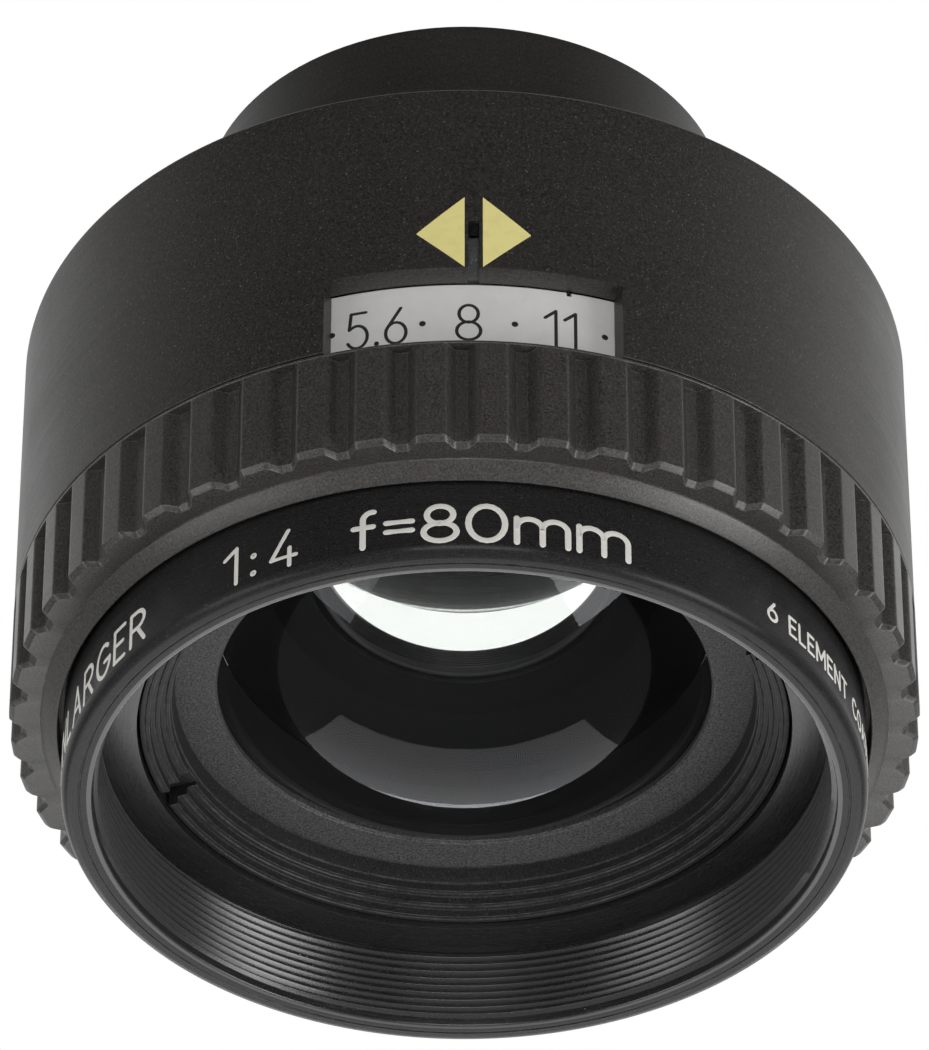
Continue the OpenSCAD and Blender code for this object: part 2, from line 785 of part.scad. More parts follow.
module grip_groove() {
    half_floor = groove_floor_w / 2;
    half_mouth = groove_mouth_w / 2;
    slope = (half_mouth - half_floor) / groove_depth;
    floor_r = shroud_r - groove_depth;
    translate([0, 0, grip_front_z - past])
        linear_extrude(grip_rear_z - groove_end_t - grip_front_z + past)
            polygon([[floor_r, -half_floor], [shroud_r + past, -half_mouth - slope * past],
                     [shroud_r + past, half_mouth + slope * past], [floor_r, half_floor]]);
}

module grip_ring() {
    lip_z = grip_front_z - grip_lip;
    color("#272625")
    difference() {
        turned([[carrier_r + fit_gap, grip_rear_z], [shroud_r, grip_rear_z],
                [shroud_r, grip_front_z + grip_chamfer], [shroud_r - grip_chamfer, grip_front_z],
                [grip_face_r, grip_front_z], [grip_lip_r, lip_z],
                [grip_lip_r, carrier_front_z - gap], [carrier_r + fit_gap, carrier_front_z - gap]]);
        around([for (i = [0:grooves - 1]) index_angle + groove_phase + i * 360 / grooves])
            grip_groove();
    }
}

// ======== Click stop ========

// Drawn just clear of the carrier's ridges; it drops into a dimple by click_travel
module click_ball() {
    color("#c9c9cc")
    translate([click_r, 0, ball_z]) sphere(r = ball_r, $fn = 48);
}

function coil_ring(turn, height) =
    let (sides = 6,
         centre = [spring_r * cos(turn), spring_r * sin(turn), height])
    [for (k = [0:sides - 1])
        centre + spring_wire_r * [cos(turn) * cos(60 * k), sin(turn) * cos(60 * k), sin(60 * k)]];

// A coil between the blind end of its hole and the ball
module click_spring() {
    sides = 6;
    steps = 12 * spring_turns;
    low = ball_z + spring_seat;
    high = ball_hole_rear_z - spring_wire_r - fit_gap;
    points = flat_points([for (i = [0:steps])
        coil_ring(360 * spring_turns * i / steps, low + (high - low) * i / steps)]);
    walls = [for (i = [0:steps - 1]) for (k = [0:sides - 1])
        let (a = i * sides + k, b = i * sides + (k + 1) % sides)
        [a, b, b + sides, a + sides]];
    color("#a9a9a4")
    translate([click_r, 0, 0])
        polyhedron(points, concat(walls,
                                  [[for (k = [sides - 1:-1:0]) k]],
                                  [[for (k = [0:sides - 1]) steps * sides + k]]));
}

// ======== The pieces ========

mount_barrel();
shroud();
shroud_screws();
light_guide();
front_tube();
slip_washer();
front_retaining_ring();
front_cell();
front_glass_retainer();
front_crown_glass();
front_flint_glass();
front_spacer();
front_meniscus_glass();
front_meniscus_retainer();
rear_cell();
rear_glass_retainer();
rear_crown_glass();
rear_flint_glass();
rear_spacer();
rear_meniscus_glass();
rear_meniscus_retainer();
iris_base();
iris_clamp_ring();
iris_blade_1();
iris_blade_2();
iris_blade_3();
iris_blade_4();
iris_blade_5();
iris_cam_ring();
drive_screw();
aperture_carrier();
scale_ring();
grip_ring();
click_ball();
click_spring();
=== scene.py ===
"""Looks of the enlarging lens: turned and blackened metal, glasses, lettering, light and camera.

Outlines are [radius, height] points in millimetres in the frame's own axes; meshes are written in metres.
"""
import json
import math
import bmesh
import bpy
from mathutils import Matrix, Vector


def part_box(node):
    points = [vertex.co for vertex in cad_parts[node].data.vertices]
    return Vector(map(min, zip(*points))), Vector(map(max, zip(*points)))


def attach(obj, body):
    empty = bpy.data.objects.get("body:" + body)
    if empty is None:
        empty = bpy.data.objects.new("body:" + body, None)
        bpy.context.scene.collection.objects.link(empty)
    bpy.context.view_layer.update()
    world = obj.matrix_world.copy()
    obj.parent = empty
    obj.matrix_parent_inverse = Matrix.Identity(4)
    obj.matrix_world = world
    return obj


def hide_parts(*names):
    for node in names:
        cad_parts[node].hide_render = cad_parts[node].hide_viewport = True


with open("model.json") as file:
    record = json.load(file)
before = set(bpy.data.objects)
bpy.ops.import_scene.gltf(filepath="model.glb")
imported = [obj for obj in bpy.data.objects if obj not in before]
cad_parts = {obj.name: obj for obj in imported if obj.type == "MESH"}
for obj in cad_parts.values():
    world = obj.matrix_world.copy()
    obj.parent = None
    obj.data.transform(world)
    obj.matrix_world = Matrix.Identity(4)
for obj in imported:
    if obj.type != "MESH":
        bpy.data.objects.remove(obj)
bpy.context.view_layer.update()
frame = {"nodes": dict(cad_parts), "record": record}

MM = 0.001
SEGMENTS = 360                       # columns of a turned piece
SHARP = 28.0                         # edges that turn by more than this many degrees stay crisp
INDEX_ANGLE = -90.0                  # the index, its slot and the window face -Y
STOP_TURN = 12.0                     # turn of the ring from one stop to the next, in degrees
PAINT = 0.012                        # thickness of the index paint


def span(node):
    """Outer radius, front height and rear height of a CAD node, in millimetres."""
    low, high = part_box(node)
    return high.x / MM, low.z / MM, high.z / MM


# ======== Meshes ========

def close_up(work):
    """Welds a mesh that is being worked on, and leaves it closed: no stray edges and no pinholes."""
    weld = 2e-4
    collapsed = 1e-5
    pinhole_sides = 8
    bmesh.ops.remove_doubles(work, verts=work.verts, dist=weld * MM)
    bmesh.ops.dissolve_degenerate(work, edges=work.edges, dist=collapsed * MM)
    stray = [edge for edge in work.edges if edge.is_wire]
    bmesh.ops.delete(work, geom=stray, context="EDGES")
    rims = [edge for edge in work.edges if edge.is_boundary]
    bmesh.ops.holes_fill(work, edges=rims, sides=pinhole_sides)
    bmesh.ops.recalc_face_normals(work, faces=work.faces)


def write_mesh(work, mesh, sharp):
    """Closes a worked mesh and writes it out, smooth except at edges sharper than sharp degrees."""
    close_up(work)
    work.to_mesh(mesh)
    work.free()
    mesh.shade_smooth()
    mesh.set_sharp_from_angle(angle=math.radians(sharp))


def piece_from(name, vertices, faces, sharp=SHARP):
    """A new object from points in millimetres."""
    mesh = bpy.data.meshes.new(name)
    work = bmesh.new()
    made = [work.verts.new(Vector(v) * MM) for v in vertices]
    for face in faces:
        work.faces.new([made[i] for i in face])
    write_mesh(work, mesh, sharp)
    piece = bpy.data.objects.new(name, mesh)
    bpy.context.scene.collection.objects.link(piece)
    return piece


def polar(radius, angle, height):
    return (radius * math.cos(angle), radius * math.sin(angle), height)


def ring_faces(columns, count, closed=True):
    """Faces round a ring of columns with count points each. closed joins the ends of each column too."""
    faces = []
    for k in range(columns):
        here = k * count
        there = (k + 1) % columns * count
        for i in range(count if closed else count - 1):
            j = (i + 1) % count
            faces.append((here + i, there + i, there + j, here + j))
    return faces


def bar_faces(steps):
    """Faces of a four-sided bar with steps + 1 sections, and its two ends."""
    faces = [(4 * k + i, 4 * k + 4 + i, 4 * k + 4 + (i + 1) % 4, 4 * k + (i + 1) % 4)
             for k in range(steps) for i in range(4)]
    return faces + [(0, 1, 2, 3), tuple(4 * steps + i for i in (3, 2, 1, 0))]


def skin(rows, segments, closed):
    """Points and faces of rows swept round the axis.

    A row is (radius, height), or a function of the angle that gives both.
    """
    points = []
    for k in range(segments):
        angle = 2 * math.pi * k / segments
        for row in rows:
            radius, height = row(angle) if callable(row) else row
            points.append(polar(radius, angle, height))
    return points, ring_faces(segments, len(rows), closed)


def turned(name, rows, segments=SEGMENTS, sharp=SHARP):
    """A closed ring: its outline swept round the axis."""
    points, faces = skin(rows, segments, True)
    return piece_from(name, points, faces, sharp)


def corner(before, at, after, radius, steps=4):
    """The points that round one corner of an outline."""
    a = Vector(before) - Vector(at)
    b = Vector(after) - Vector(at)
    half = a.angle(b) / 2
    back = radius / math.tan(half)
    start = Vector(at) + a.normalized() * back
    end = Vector(at) + b.normalized() * back
    centre = Vector(at) + (a.normalized() + b.normalized()).normalized() * (radius / math.sin(half))
    turn = (start - centre).angle_signed(end - centre)
    first = math.atan2(start.y - centre.y, start.x - centre.x)
    return [(centre.x + radius * math.cos(first - turn * i / steps),
             centre.y + radius * math.sin(first - turn * i / steps)) for i in range(steps + 1)]


def rounded(outline, radius):
    """An outline with every corner rounded. A point may carry its own radius as a third number."""
    result = []
    count = len(outline)
    for i, point in enumerate(outline):
        own = point[2] if len(point) > 2 else radius
        before = outline[i - 1][:2]
        after = outline[(i + 1) % count][:2]
        result += corner(before, point[:2], after, own) if own > 0 else [tuple(point[:2])]
    return result


def cut(piece, *cutters):
    """Takes the cutters away from a piece, for good, and removes them."""
    for cutter in cutters:
        step = piece.modifiers.new("cut", "BOOLEAN")
        step.operation = "DIFFERENCE"
        step.solver = "EXACT"
        step.object = cutter
    settle(piece)
    for cutter in cutters:
        bpy.data.objects.remove(cutter)


def settle(piece):
    """Makes a piece's modifiers part of its mesh."""
    graph = bpy.context.evaluated_depsgraph_get()
    mesh = bpy.data.meshes.new_from_object(piece.evaluated_get(graph))
    work = bmesh.new()
    work.from_mesh(mesh)
    piece.modifiers.clear()
    piece.data = mesh
    write_mesh(work, mesh, SHARP)


def soften(piece, width, limit=40.0):
    """Rounds the sharp edges that a cut leaves."""
    step = piece.modifiers.new("soften", "BEVEL")
    step.width = width * MM
    step.segments = 2
    step.limit_method = "ANGLE"
    step.angle_limit = math.radians(limit)
    step.use_clamp_overlap = True
    settle(piece)


def wedge(name, inner, outer, low, high, centre, width, steps=24):
    """A block bent round the axis: part of a ring, from one radius to another."""
    points = []
    for k in range(steps + 1):
        angle = math.radians(centre - width / 2 + width * k / steps)
        for radius, height in ((inner, low), (outer, low), (outer, high), (inner, high)):
            points.append(polar(radius, angle, height))
    return piece_from(name, points, bar_faces(steps))


def block(name, centre_angle, near, far, half_width, low, high):
    """A straight block that runs outwards from the axis."""
    turn = math.radians(centre_angle)
    points = []
    for along, across, height in ((near, -1, low), (far, -1, low), (far, 1, low), (near, 1, low),
                                  (near, -1, high), (far, -1, high), (far, 1, high), (near, 1, high)):
        side = across * half_width
        points.append((along * math.cos(turn) - side * math.sin(turn),
                       along * math.sin(turn) + side * math.cos(turn), height))
    faces = [(0, 3, 2, 1), (4, 5, 6, 7), (0, 1, 5, 4), (1, 2, 6, 5), (2, 3, 7, 6), (3, 0, 4, 7)]
    return piece_from(name, points, faces)


class Thread:
    """A helical thread with rounded crests between two heights, cut into or raised from a wall."""

    def __init__(self, low, high, pitch, crest, root, crest_share, root_share):
        self.low = low
        self.high = high
        self.pitch = pitch
        self.crest = crest
        self.root = root
        flank = (1 - crest_share - root_share) / 2
        rounding = 0.1
        steps = 4
        # Share of a turn, and depth there: 0 on the crest and 1 at the root
        self.profile = [(crest_share * step / steps, rounding * (2 * step / steps - 1) ** 2)
                        for step in range(steps + 1)]
        self.profile += [(crest_share + flank, 1.0), (1 - flank, 1.0), (1.0, rounding)]

    def depth(self, phase):
        phase = phase % 1.0
        for (start, here), (end, there) in zip(self.profile, self.profile[1:]):
            if phase <= end:
                return here + (there - here) * (phase - start) / (end - start)
        return self.profile[-1][1]

    def radius(self, height, angle):
        phase = (height - self.low) / self.pitch + angle / (2 * math.pi)
        return self.crest + (self.root - self.crest) * self.depth(phase)

    def row(self, height):
        """The thread's wall where it meets a plane end."""
        return lambda angle: (self.radius(height, angle), height)

    def strip(self, first, segments=SEGMENTS):
        """Points and faces of the wall, in rows that follow the helix."""
        turns = math.ceil((self.high - self.low) / self.pitch) + 1
        shares = [share for share, _ in self.profile[:-1]]
        lifts = [turn + share for turn in range(turns) for share in shares] + [float(turns)]
        per_turn = len(shares)
        points = []
        for k in range(segments):
            angle = 2 * math.pi * k / segments
            for lift in lifts:
                height = self.low + self.pitch * (lift - k / segments)
                height = min(self.high, max(self.low, height))
                points.append(polar(self.radius(height, angle), angle, height))
        count = len(lifts)
        faces = []
        for k in range(segments):
            here = first + k * count
            last = k == segments - 1
            there = first - per_turn if last else here + count
            for i in range(per_turn if last else 0, count - 1):
                faces.append((here + i, there + i, there + i + 1, here + i + 1))
        return points, faces


def threaded(name, thread, rows, sharp=33.0, segments=SEGMENTS):
    """A ring whose outline runs from the thread's high end round to its low end."""
    rows = [thread.row(thread.high)] + rows + [thread.row(thread.low)]
    points, faces = skin(rows, segments, False)
    more_points, more_faces = thread.strip(len(points), segments)
    return piece_from(name, points + more_points, faces + more_faces, sharp)


# ======== Materials ========

class Shader:
    """A node material, built one node at a time."""

    def __init__(self, name):
        self.material = bpy.data.materials.new(name)
        self.material.use_nodes = True
        self.tree = self.material.node_tree
        self.tree.nodes.clear()
        self.output = self.tree.nodes.new("ShaderNodeOutputMaterial")

    def node(self, kind, inputs=None, **settings):
        made = self.tree.nodes.new("ShaderNode" + kind)
        for key, value in settings.items():
            setattr(made, key, value)
        for key, value in (inputs or {}).items():
            if isinstance(value, bpy.types.NodeSocket):
                self.tree.links.new(value, made.inputs[key])
            else:
                made.inputs[key].default_value = value
        return made

    def math(self, operation, *values, clamp=False):
        made = self.node("Math", dict(enumerate(values)), operation=operation, use_clamp=clamp)
        return made.outputs[0]

    def place(self):
        """Where a point is on the piece, which travels with the piece."""
        return self.node("TexCoord").outputs["Object"]

    def noise(self, vector, scale, detail=2.0, roughness=0.5):
        """Noise of a feature size in millimetres."""
        made = self.node("TexNoise", {"Vector": vector, "Scale": 1 / (scale * MM), "Detail": detail,
                                      "Roughness": roughness})
        return made.outputs["Fac"]

    def ramp(self, value, low, high, start=0.0, end=1.0):
        made = self.node("MapRange", {"Value": value, "From Min": low, "From Max": high,
                                      "To Min": start, "To Max": end})
        return made.outputs["Result"]

    def colours(self, factor, a, b):
        made = self.node("Mix", data_type="RGBA")
        for key, value in ((0, factor), (6, a), (7, b)):
            if isinstance(value, bpy.types.NodeSocket):
                self.tree.links.new(value, made.inputs[key])
            elif key:
                made.inputs[key].default_value = (*value, 1.0)
            else:
                made.inputs[key].default_value = value
        return made.outputs[2]

    def mix(self, share, first, second):
        """One surface over another: share 0 shows the first and share 1 the second."""
        return self.node("MixShader", {0: share, 1: first, 2: second}).outputs[0]

    def out_from_axis(self):
        """Distance from the optical axis."""
        x, y, _ = self.node("SeparateXYZ", {0: self.place()}).outputs
        squares = self.math("ADD", self.math("MULTIPLY", x, x), self.math("MULTIPLY", y, y))
        return self.math("SQRT", squares)

    def lathe_vector(self, round_scale=0.00015):
        """Coordinates that stretch a pattern round the axis, like the marks of a lathe tool."""
        x, y, z = self.node("SeparateXYZ", {0: self.place()}).outputs
        angle = self.math("MULTIPLY", self.math("ARCTAN2", y, x), round_scale)
        return self.node("CombineXYZ", {0: self.out_from_axis(), 1: angle, 2: z}).outputs[0]

    def edges(self, radius):
        """1 along outward edges and 0 on open faces."""
        soft = self.node("Bevel", {"Radius": radius * MM}, samples=4).outputs[0]
        plain = self.node("NewGeometry").outputs["Normal"]
        dot = self.node("VectorMath", {0: soft, 1: plain}, operation="DOT_PRODUCT").outputs["Value"]
        return self.ramp(dot, 0.995, 0.8)

    def bump(self, height, strength, distance, normal=None):
        inputs = {"Height": height, "Strength": strength, "Distance": distance * MM}
        if normal is not None:
            inputs["Normal"] = normal
        return self.node("Bump", inputs).outputs[0]

    def finish(self, surface):
        self.tree.links.new(surface, self.output.inputs["Surface"])
        return self.material


def black_metal(name, shade, rough, turning=0.25, grain=0.25, grain_size=0.12, wear_and_edge_shine=0.5,
                wear_and_shine_colour=(0.16, 0.16, 0.165), painted_sparkle=0.4, spread=0.0, gloss=0.5, edge=0.07,
                bore=None):
    """Blackened metal: tool marks round the axis, a blasted grain with painted glints as bright specks, and
    rubbed edges painted lighter, as wear and as edge highlight.

    spread draws highlights out across the tool marks, as a turned face does. bore = (radius, gloss) makes
    the piece glossier inside that radius, like a thread cut after blasting.
    """
    s = Shader(name)
    place = s.place()
    tool = s.noise(s.lathe_vector(), 0.09, 3.0, 0.6)
    speckle = s.noise(place, grain_size, 2.0, 0.6)
    tint = s.noise(place, 0.35, 3.0, 0.65)
    # Painted glints: bright specks mixed into the base colour stand in for the sparkle of a blasted surface
    painted_glints = s.ramp(s.noise(place, 0.11, 1.0, 0.5), 0.66, 0.8, 0.0, painted_sparkle)
    cloud = s.noise(place, 7.0, 3.0, 0.55)
    # Rubbed edges: real wear, and also a painted edge highlight, lighter along the outward edges
    worn_and_lit_edges = s.math("MULTIPLY", s.edges(edge), s.ramp(s.noise(place, 0.8, 4.0, 0.7), 0.35, 0.7), clamp=True)
    worn_and_lit_edges = s.math("MULTIPLY", worn_and_lit_edges, wear_and_edge_shine, clamp=True)
    dark = tuple(c * 0.2 for c in shade)
    pale = tuple(c * 2.3 for c in shade)
    warm = (shade[0] * 1.35, shade[1] * 1.05, shade[2] * 0.85)
    base = s.colours(s.ramp(speckle, 0.3, 0.7), dark, pale)
    base = s.colours(s.ramp(tint, 0.45, 0.7, 0.0, 0.5), base, warm)
    base = s.colours(s.ramp(cloud, 0.3, 0.8, 0.0, 0.25), base, tuple(c * 1.5 for c in shade))
    base = s.colours(s.ramp(tool, 0.5, 0.75, 0.0, min(1.0, turning)), base, tuple(c * 1.7 for c in shade))
    # The painted glints go into the base colour here
    base = s.colours(painted_glints, base, (0.15, 0.143, 0.135))
    # The rubbed wear and painted edge highlight go into the base colour here
    base = s.colours(worn_and_lit_edges, base, wear_and_shine_colour)
    roughness = s.math("ADD", s.ramp(cloud, 0.2, 0.8, rough - 0.05, rough + 0.06),
                       s.ramp(tool, 0.3, 0.7, -0.04, 0.04))
    normal = s.bump(tool, turning, 0.006)
    normal = s.bump(speckle, grain, 0.012, normal)
    if bore:
        radius, bore_gloss = bore
        inside = s.math("LESS_THAN", s.out_from_axis(), radius * MM)
        gloss = s.math("ADD", s.math("MULTIPLY", inside, bore_gloss - gloss), gloss)
    shader = s.node("BsdfPrincipled", {"Base Color": base, "Roughness": roughness, "Normal": normal,
                                       "Specular IOR Level": gloss})
    if spread > 0:
        tangent = s.node("Tangent", direction_type="RADIAL", axis="Z").outputs[0]
        s.tree.links.new(tangent, shader.inputs["Tangent"])
        shader.inputs["Anisotropic"].default_value = spread
        shader.inputs["Anisotropic Rotation"].default_value = 0.25
    return s.finish(shader.outputs[0])


def bright_metal(name, shade, rough, turning=0.3, stain=0.2):
    """Bare or plated metal with tool marks and faint stains."""
    s = Shader(name)
    place = s.place()
    tool = s.noise(s.lathe_vector(), 0.06, 3.0, 0.6)
    cloud = s.noise(place, 2.5, 4.0, 0.6)
    base = s.colours(s.ramp(cloud, 0.3, 0.75, 0.0, stain), shade, tuple(c * 0.55 for c in shade))
    roughness = s.math("ADD", s.ramp(cloud, 0.2, 0.8, rough - 0.04, rough + 0.08),
                       s.ramp(tool, 0.3, 0.7, -0.05, 0.05))
    shader = s.node("BsdfPrincipled", {"Base Color": base, "Roughness": roughness, "Metallic": 1.0,
                                       "Normal": s.bump(tool, turning, 0.004)})
    return s.finish(shader.outputs[0])


def paint(name, shade, rough=0.55):
    """Enamel run into an engraving: slightly uneven, with a little grime."""
    s = Shader(name)
    place = s.place()
    fine = s.noise(place, 0.06, 3.0, 0.7)
    broad = s.noise(place, 0.7, 3.0, 0.6)
    base = s.colours(s.ramp(broad, 0.45, 0.8, 0.0, 0.3), shade, tuple(c * 0.72 for c in shade))
    base = s.colours(s.ramp(fine, 0.6, 0.8, 0.0, 0.3), base, tuple(c * 0.6 for c in shade))
    shader = s.node("BsdfPrincipled", {"Base Color": base, "Roughness": rough,
                                       "Normal": s.bump(fine, 0.3, 0.01)})
    return s.finish(shader.outputs[0])


def scale_silver(name):
    """Satin white metal of the aperture scale, with fine tool lines and a few dull patches."""
    s = Shader(name)
    place = s.place()
    tool = s.noise(s.lathe_vector(), 0.05, 3.0, 0.6)
    cloud = s.noise(place, 1.6, 4.0, 0.6)
    base = s.colours(s.ramp(cloud, 0.35, 0.75, 0.0, 0.5), (0.90, 0.89, 0.88), (0.76, 0.75, 0.745))
    base = s.colours(s.ramp(tool, 0.3, 0.7, 0.0, 0.2), base, (0.95, 0.94, 0.93))
    shader = s.node("BsdfPrincipled", {"Base Color": base, "Roughness": 0.5, "Metallic": 0.25,
                                       "Normal": s.bump(tool, 0.25, 0.004)})
    return s.finish(shader.outputs[0])


def clear_plastic(name):
    """Moulded acrylic with a satin skin."""
    s = Shader(name)
    fine = s.noise(s.place(), 0.25, 2.0, 0.5)
    shader = s.node("BsdfPrincipled", {"Base Color": (0.86, 0.9, 0.87, 1.0), "IOR": 1.49,
                                       "Roughness": s.ramp(fine, 0.2, 0.8, 0.18, 0.3),
                                       "Transmission Weight": 0.85,
                                       "Normal": s.bump(fine, 0.2, 0.01)})
    return s.finish(shader.outputs[0])


COATING = 1.45                       # a mirror share of 5.6 % uncoated becomes 1.5 %
TOTAL = (0.58, 0.58, 0.585)          # total reflection, dulled so that the box behind doesn't burn out


def glass(name, index, coating, edge_radius, cement=None, rim=None):
    """Coated optical glass with blackened edges. Lamp and bounce light pass straight through.

    edge_radius is where the ground edge starts, in millimetres. cement = (centre height, radius) of a face
    that is cemented to the next glass, where nothing bends or reflects. rim = (radius, height, side) says
    that the glass is also blackened beyond that radius, on that side of that height.
    """
    s = Shader(name)
    place = s.place()
    film = s.noise(place, 9.0, 2.0, 0.5)
    dust = s.ramp(s.noise(place, 0.12, 4.0, 0.75), 0.74, 0.8, 0.0, 0.06)
    fresnel = s.node("Fresnel", {"IOR": index}).outputs[0]
    shine = s.math("POWER", fresnel, COATING, clamp=True)
    tint = s.colours(s.ramp(film, 0.35, 0.65), coating, tuple(min(1.0, c * 1.2) for c in coating))
    through = s.node("BsdfRefraction", {"Color": (0.985, 0.99, 0.985, 1), "IOR": index, "Roughness": 0.0})
    mirror = s.node("BsdfGlossy", {"Color": s.colours(s.ramp(fresnel, 0.5, 0.95), tint, TOTAL),
                                   "Roughness": 0.0})
    body = s.mix(shine, through.outputs[0], mirror.outputs[0])
    haze = s.node("BsdfDiffuse", {"Color": (0.6, 0.6, 0.62, 1)}).outputs[0]
    body = s.mix(dust, body, haze)
    path = s.node("LightPath").outputs
    skip = s.math("MAXIMUM", path["Is Shadow Ray"], path["Is Diffuse Ray"])
    if cement:
        centre, radius = cement
        middle = (0.0, 0.0, centre * MM)
        offset = s.node("VectorMath", {0: place, 1: middle}, operation="SUBTRACT").outputs[0]
        away = s.node("VectorMath", {0: offset}, operation="LENGTH").outputs["Value"]
        skip = s.math("MAXIMUM", skip, s.math("COMPARE", away, radius * MM, 0.01 * MM))
    clear = s.node("BsdfTransparent", {"Color": (0.97, 0.98, 0.97, 1)}).outputs[0]
    body = s.mix(skip, body, clear)
    z = s.node("SeparateXYZ", {0: place}).outputs[2]
    out = s.out_from_axis()
    black = s.math("GREATER_THAN", out, (edge_radius - 0.02) * MM)
    if rim:
        radius, height, side = rim
        beyond = s.math("GREATER_THAN", s.math("MULTIPLY", z, float(side)), side * height * MM)
        outside = s.math("GREATER_THAN", out, (radius + 0.02) * MM)
        black = s.math("MAXIMUM", black, s.math("MULTIPLY", beyond, outside))
    ink = s.node("BsdfDiffuse", {"Color": (0.02, 0.02, 0.02, 1)}).outputs[0]
    return s.finish(s.mix(black, body, ink))


MATERIALS = {
    "black_anodised": black_metal("black_anodised", (0.016, 0.0158, 0.0155), 0.5, grain=0.3, wear_and_edge_shine=0.3),
    "black_satin": black_metal("black_satin", (0.0175, 0.0165, 0.0158), 0.38, turning=0.3, grain=0.3,
                               grain_size=0.09, wear_and_edge_shine=0.4, spread=0.3),
    "cell_black": black_metal("cell_black", (0.005, 0.005, 0.005), 0.45, turning=0.4, grain=0.1, wear_and_edge_shine=0.0,
                              painted_sparkle=0.03, gloss=0.12),
    "tube_black": black_metal("tube_black", (0.014, 0.0138, 0.0145), 0.27, turning=0.35, grain=0.25,
                              grain_size=0.08, wear_and_edge_shine=0.6, spread=0.7, gloss=0.17, bore=(20.6, 0.75)),
    "grip_black": black_metal("grip_black", (0.034, 0.0325, 0.031), 0.36, turning=0.15, grain=0.7,
                              grain_size=0.12, wear_and_edge_shine=0.9, wear_and_shine_colour=(0.28, 0.27, 0.26), spread=0.3),
    "grey_black": black_metal("grey_black", (0.02, 0.02, 0.0205), 0.40, turning=0.6, grain=0.4, wear_and_edge_shine=0.9,
                              wear_and_shine_colour=(0.3, 0.3, 0.31), painted_sparkle=0.8, spread=0.5, gloss=0.2),
    # A lighter copy of grey_black for the front glass's flat ring: painted light for its downward face, with
    # very bright edges as painted highlight
    "ring_grey": black_metal("ring_grey", (0.055, 0.055, 0.0575), 0.42, turning=0.2, grain=0.7, wear_and_edge_shine=1.0,
                             wear_and_shine_colour=(0.6, 0.6, 0.62), painted_sparkle=1.0, spread=0.5, gloss=0.12),
    "shroud_black": black_metal("shroud_black", (0.0175, 0.016, 0.0145), 0.44, turning=0.03, grain=1.0,
                                grain_size=0.15, wear_and_edge_shine=0.15, painted_sparkle=1.0),
    "blade_black": black_metal("blade_black", (0.03, 0.03, 0.032), 0.4, turning=0.0, grain=0.3, wear_and_edge_shine=0.3),
    "scale_silver": scale_silver("scale_silver"),
    "screw_steel": bright_metal("screw_steel", (0.20, 0.20, 0.21), 0.35),
    "steel": bright_metal("steel", (0.6, 0.6, 0.6), 0.25),
    "washer_brass": bright_metal("washer_brass", (0.62, 0.5, 0.26), 0.35),
    "cam_aluminium": bright_metal("cam_aluminium", (0.5, 0.5, 0.5), 0.4),
    "light_guide_plastic": clear_plastic("light_guide_plastic"),
    "white_paint": paint("white_paint", (0.80, 0.78, 0.73)),
    "yellow_paint": paint("yellow_paint", (0.93, 0.83, 0.33)),
    "black_paint": paint("black_paint", (0.02, 0.02, 0.02)),
}


def dress(piece, material):
    piece.data.materials.clear()
    piece.data.materials.append(material)
    return piece


def fit_out(piece, body, slot, nodes=(), material=None):
    """Gives a new piece its material, its body and the CAD nodes that it stands for."""
    weigh = piece.modifiers.new("weigh_normals", "WEIGHTED_NORMAL")
    weigh.keep_sharp = True
    dress(piece, material or MATERIALS[slot])
    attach(piece, body)
    if nodes:
        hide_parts(*nodes)
    return piece


BLACKENED_INSIDE = ("front_cell", "front_spacer", "front_meniscus_retainer", "rear_spacer",
                    "rear_meniscus_retainer", "iris_base", "iris_clamp_ring")


def dress_cad_nodes():
    """The CAD nodes that stay in sight take the material of the slot that the record gives them."""
    slots = {part["node"]: part["material_slot"] for part in frame["record"]["subparts"]}
    slots.update({name: "cell_black" for name in BLACKENED_INSIDE})
    for name, node in frame["nodes"].items():
        if slots[name] in MATERIALS:
            for place in node.material_slots:
                place.material = MATERIALS[slots[name]]


# ======== Turned pieces ========

def make_shroud():
    """The shell stands back by the thickness of the index paint, which ends flush with the CAD's wall."""
    outer, front, rear = span("shroud")
    outer -= PAINT
    web_bore = 19.55
    web_front = rear - 1.4
    bore = 23.7
    window_top = -13.1
    window_turn = 37.3               # width of the window, in degrees
    slot_top = -9.7
    slot_half = 0.3
    past = 1.0                       # how far the cutters stand out of the wall
    outline = [(web_bore, rear, 0.1), (outer, rear, 0.35), (outer, front, 0.08), (bore, front, 0.08),
               (bore, web_front, 0), (web_bore, web_front, 0.1)]
    piece = turned("shroud_shell", rounded(outline, 0.1))
    window = wedge("window", bore - past, outer + past, front - past, window_top, INDEX_ANGLE,
                   window_turn, 48)
    slot = block("slot", INDEX_ANGLE, bore - past, outer + past, slot_half, window_top - 0.5, slot_top)
    screws = [screw_sink(angle) for angle in (90, 210, 330)]
    cut(piece, window, slot)
    soften(piece, 0.06)              # before the screws' small holes, whose edges it would tear
    cut(piece, *screws)
    return fit_out(piece, "lens_body", "shroud_black", ["shroud"])


def screw_sink(angle):
    """The countersunk hole that a shroud screw sits in."""
    pitch_radius = 21.6
    shank, head, depth = 0.75, 1.3, 0.55
    floor = -3                                       # well through the shroud's web
    over = 0.5                                       # the cone goes on past the rear face, to cut it cleanly
    mouth = head + over * (head - shank) / depth
    rows = [(0, floor), (shank, floor), (shank, -depth), (mouth, over), (0, over)]
    sink = turned("sink", rows, 44)
    sink.rotation_euler.z = math.radians(1.7)        # keeps its corners off the shell's own columns
    turn = math.radians(angle)
    sink.location = Vector((pitch_radius * math.cos(turn), pitch_radius * math.sin(turn), 0)) * MM
    bpy.context.view_layer.update()
    return sink


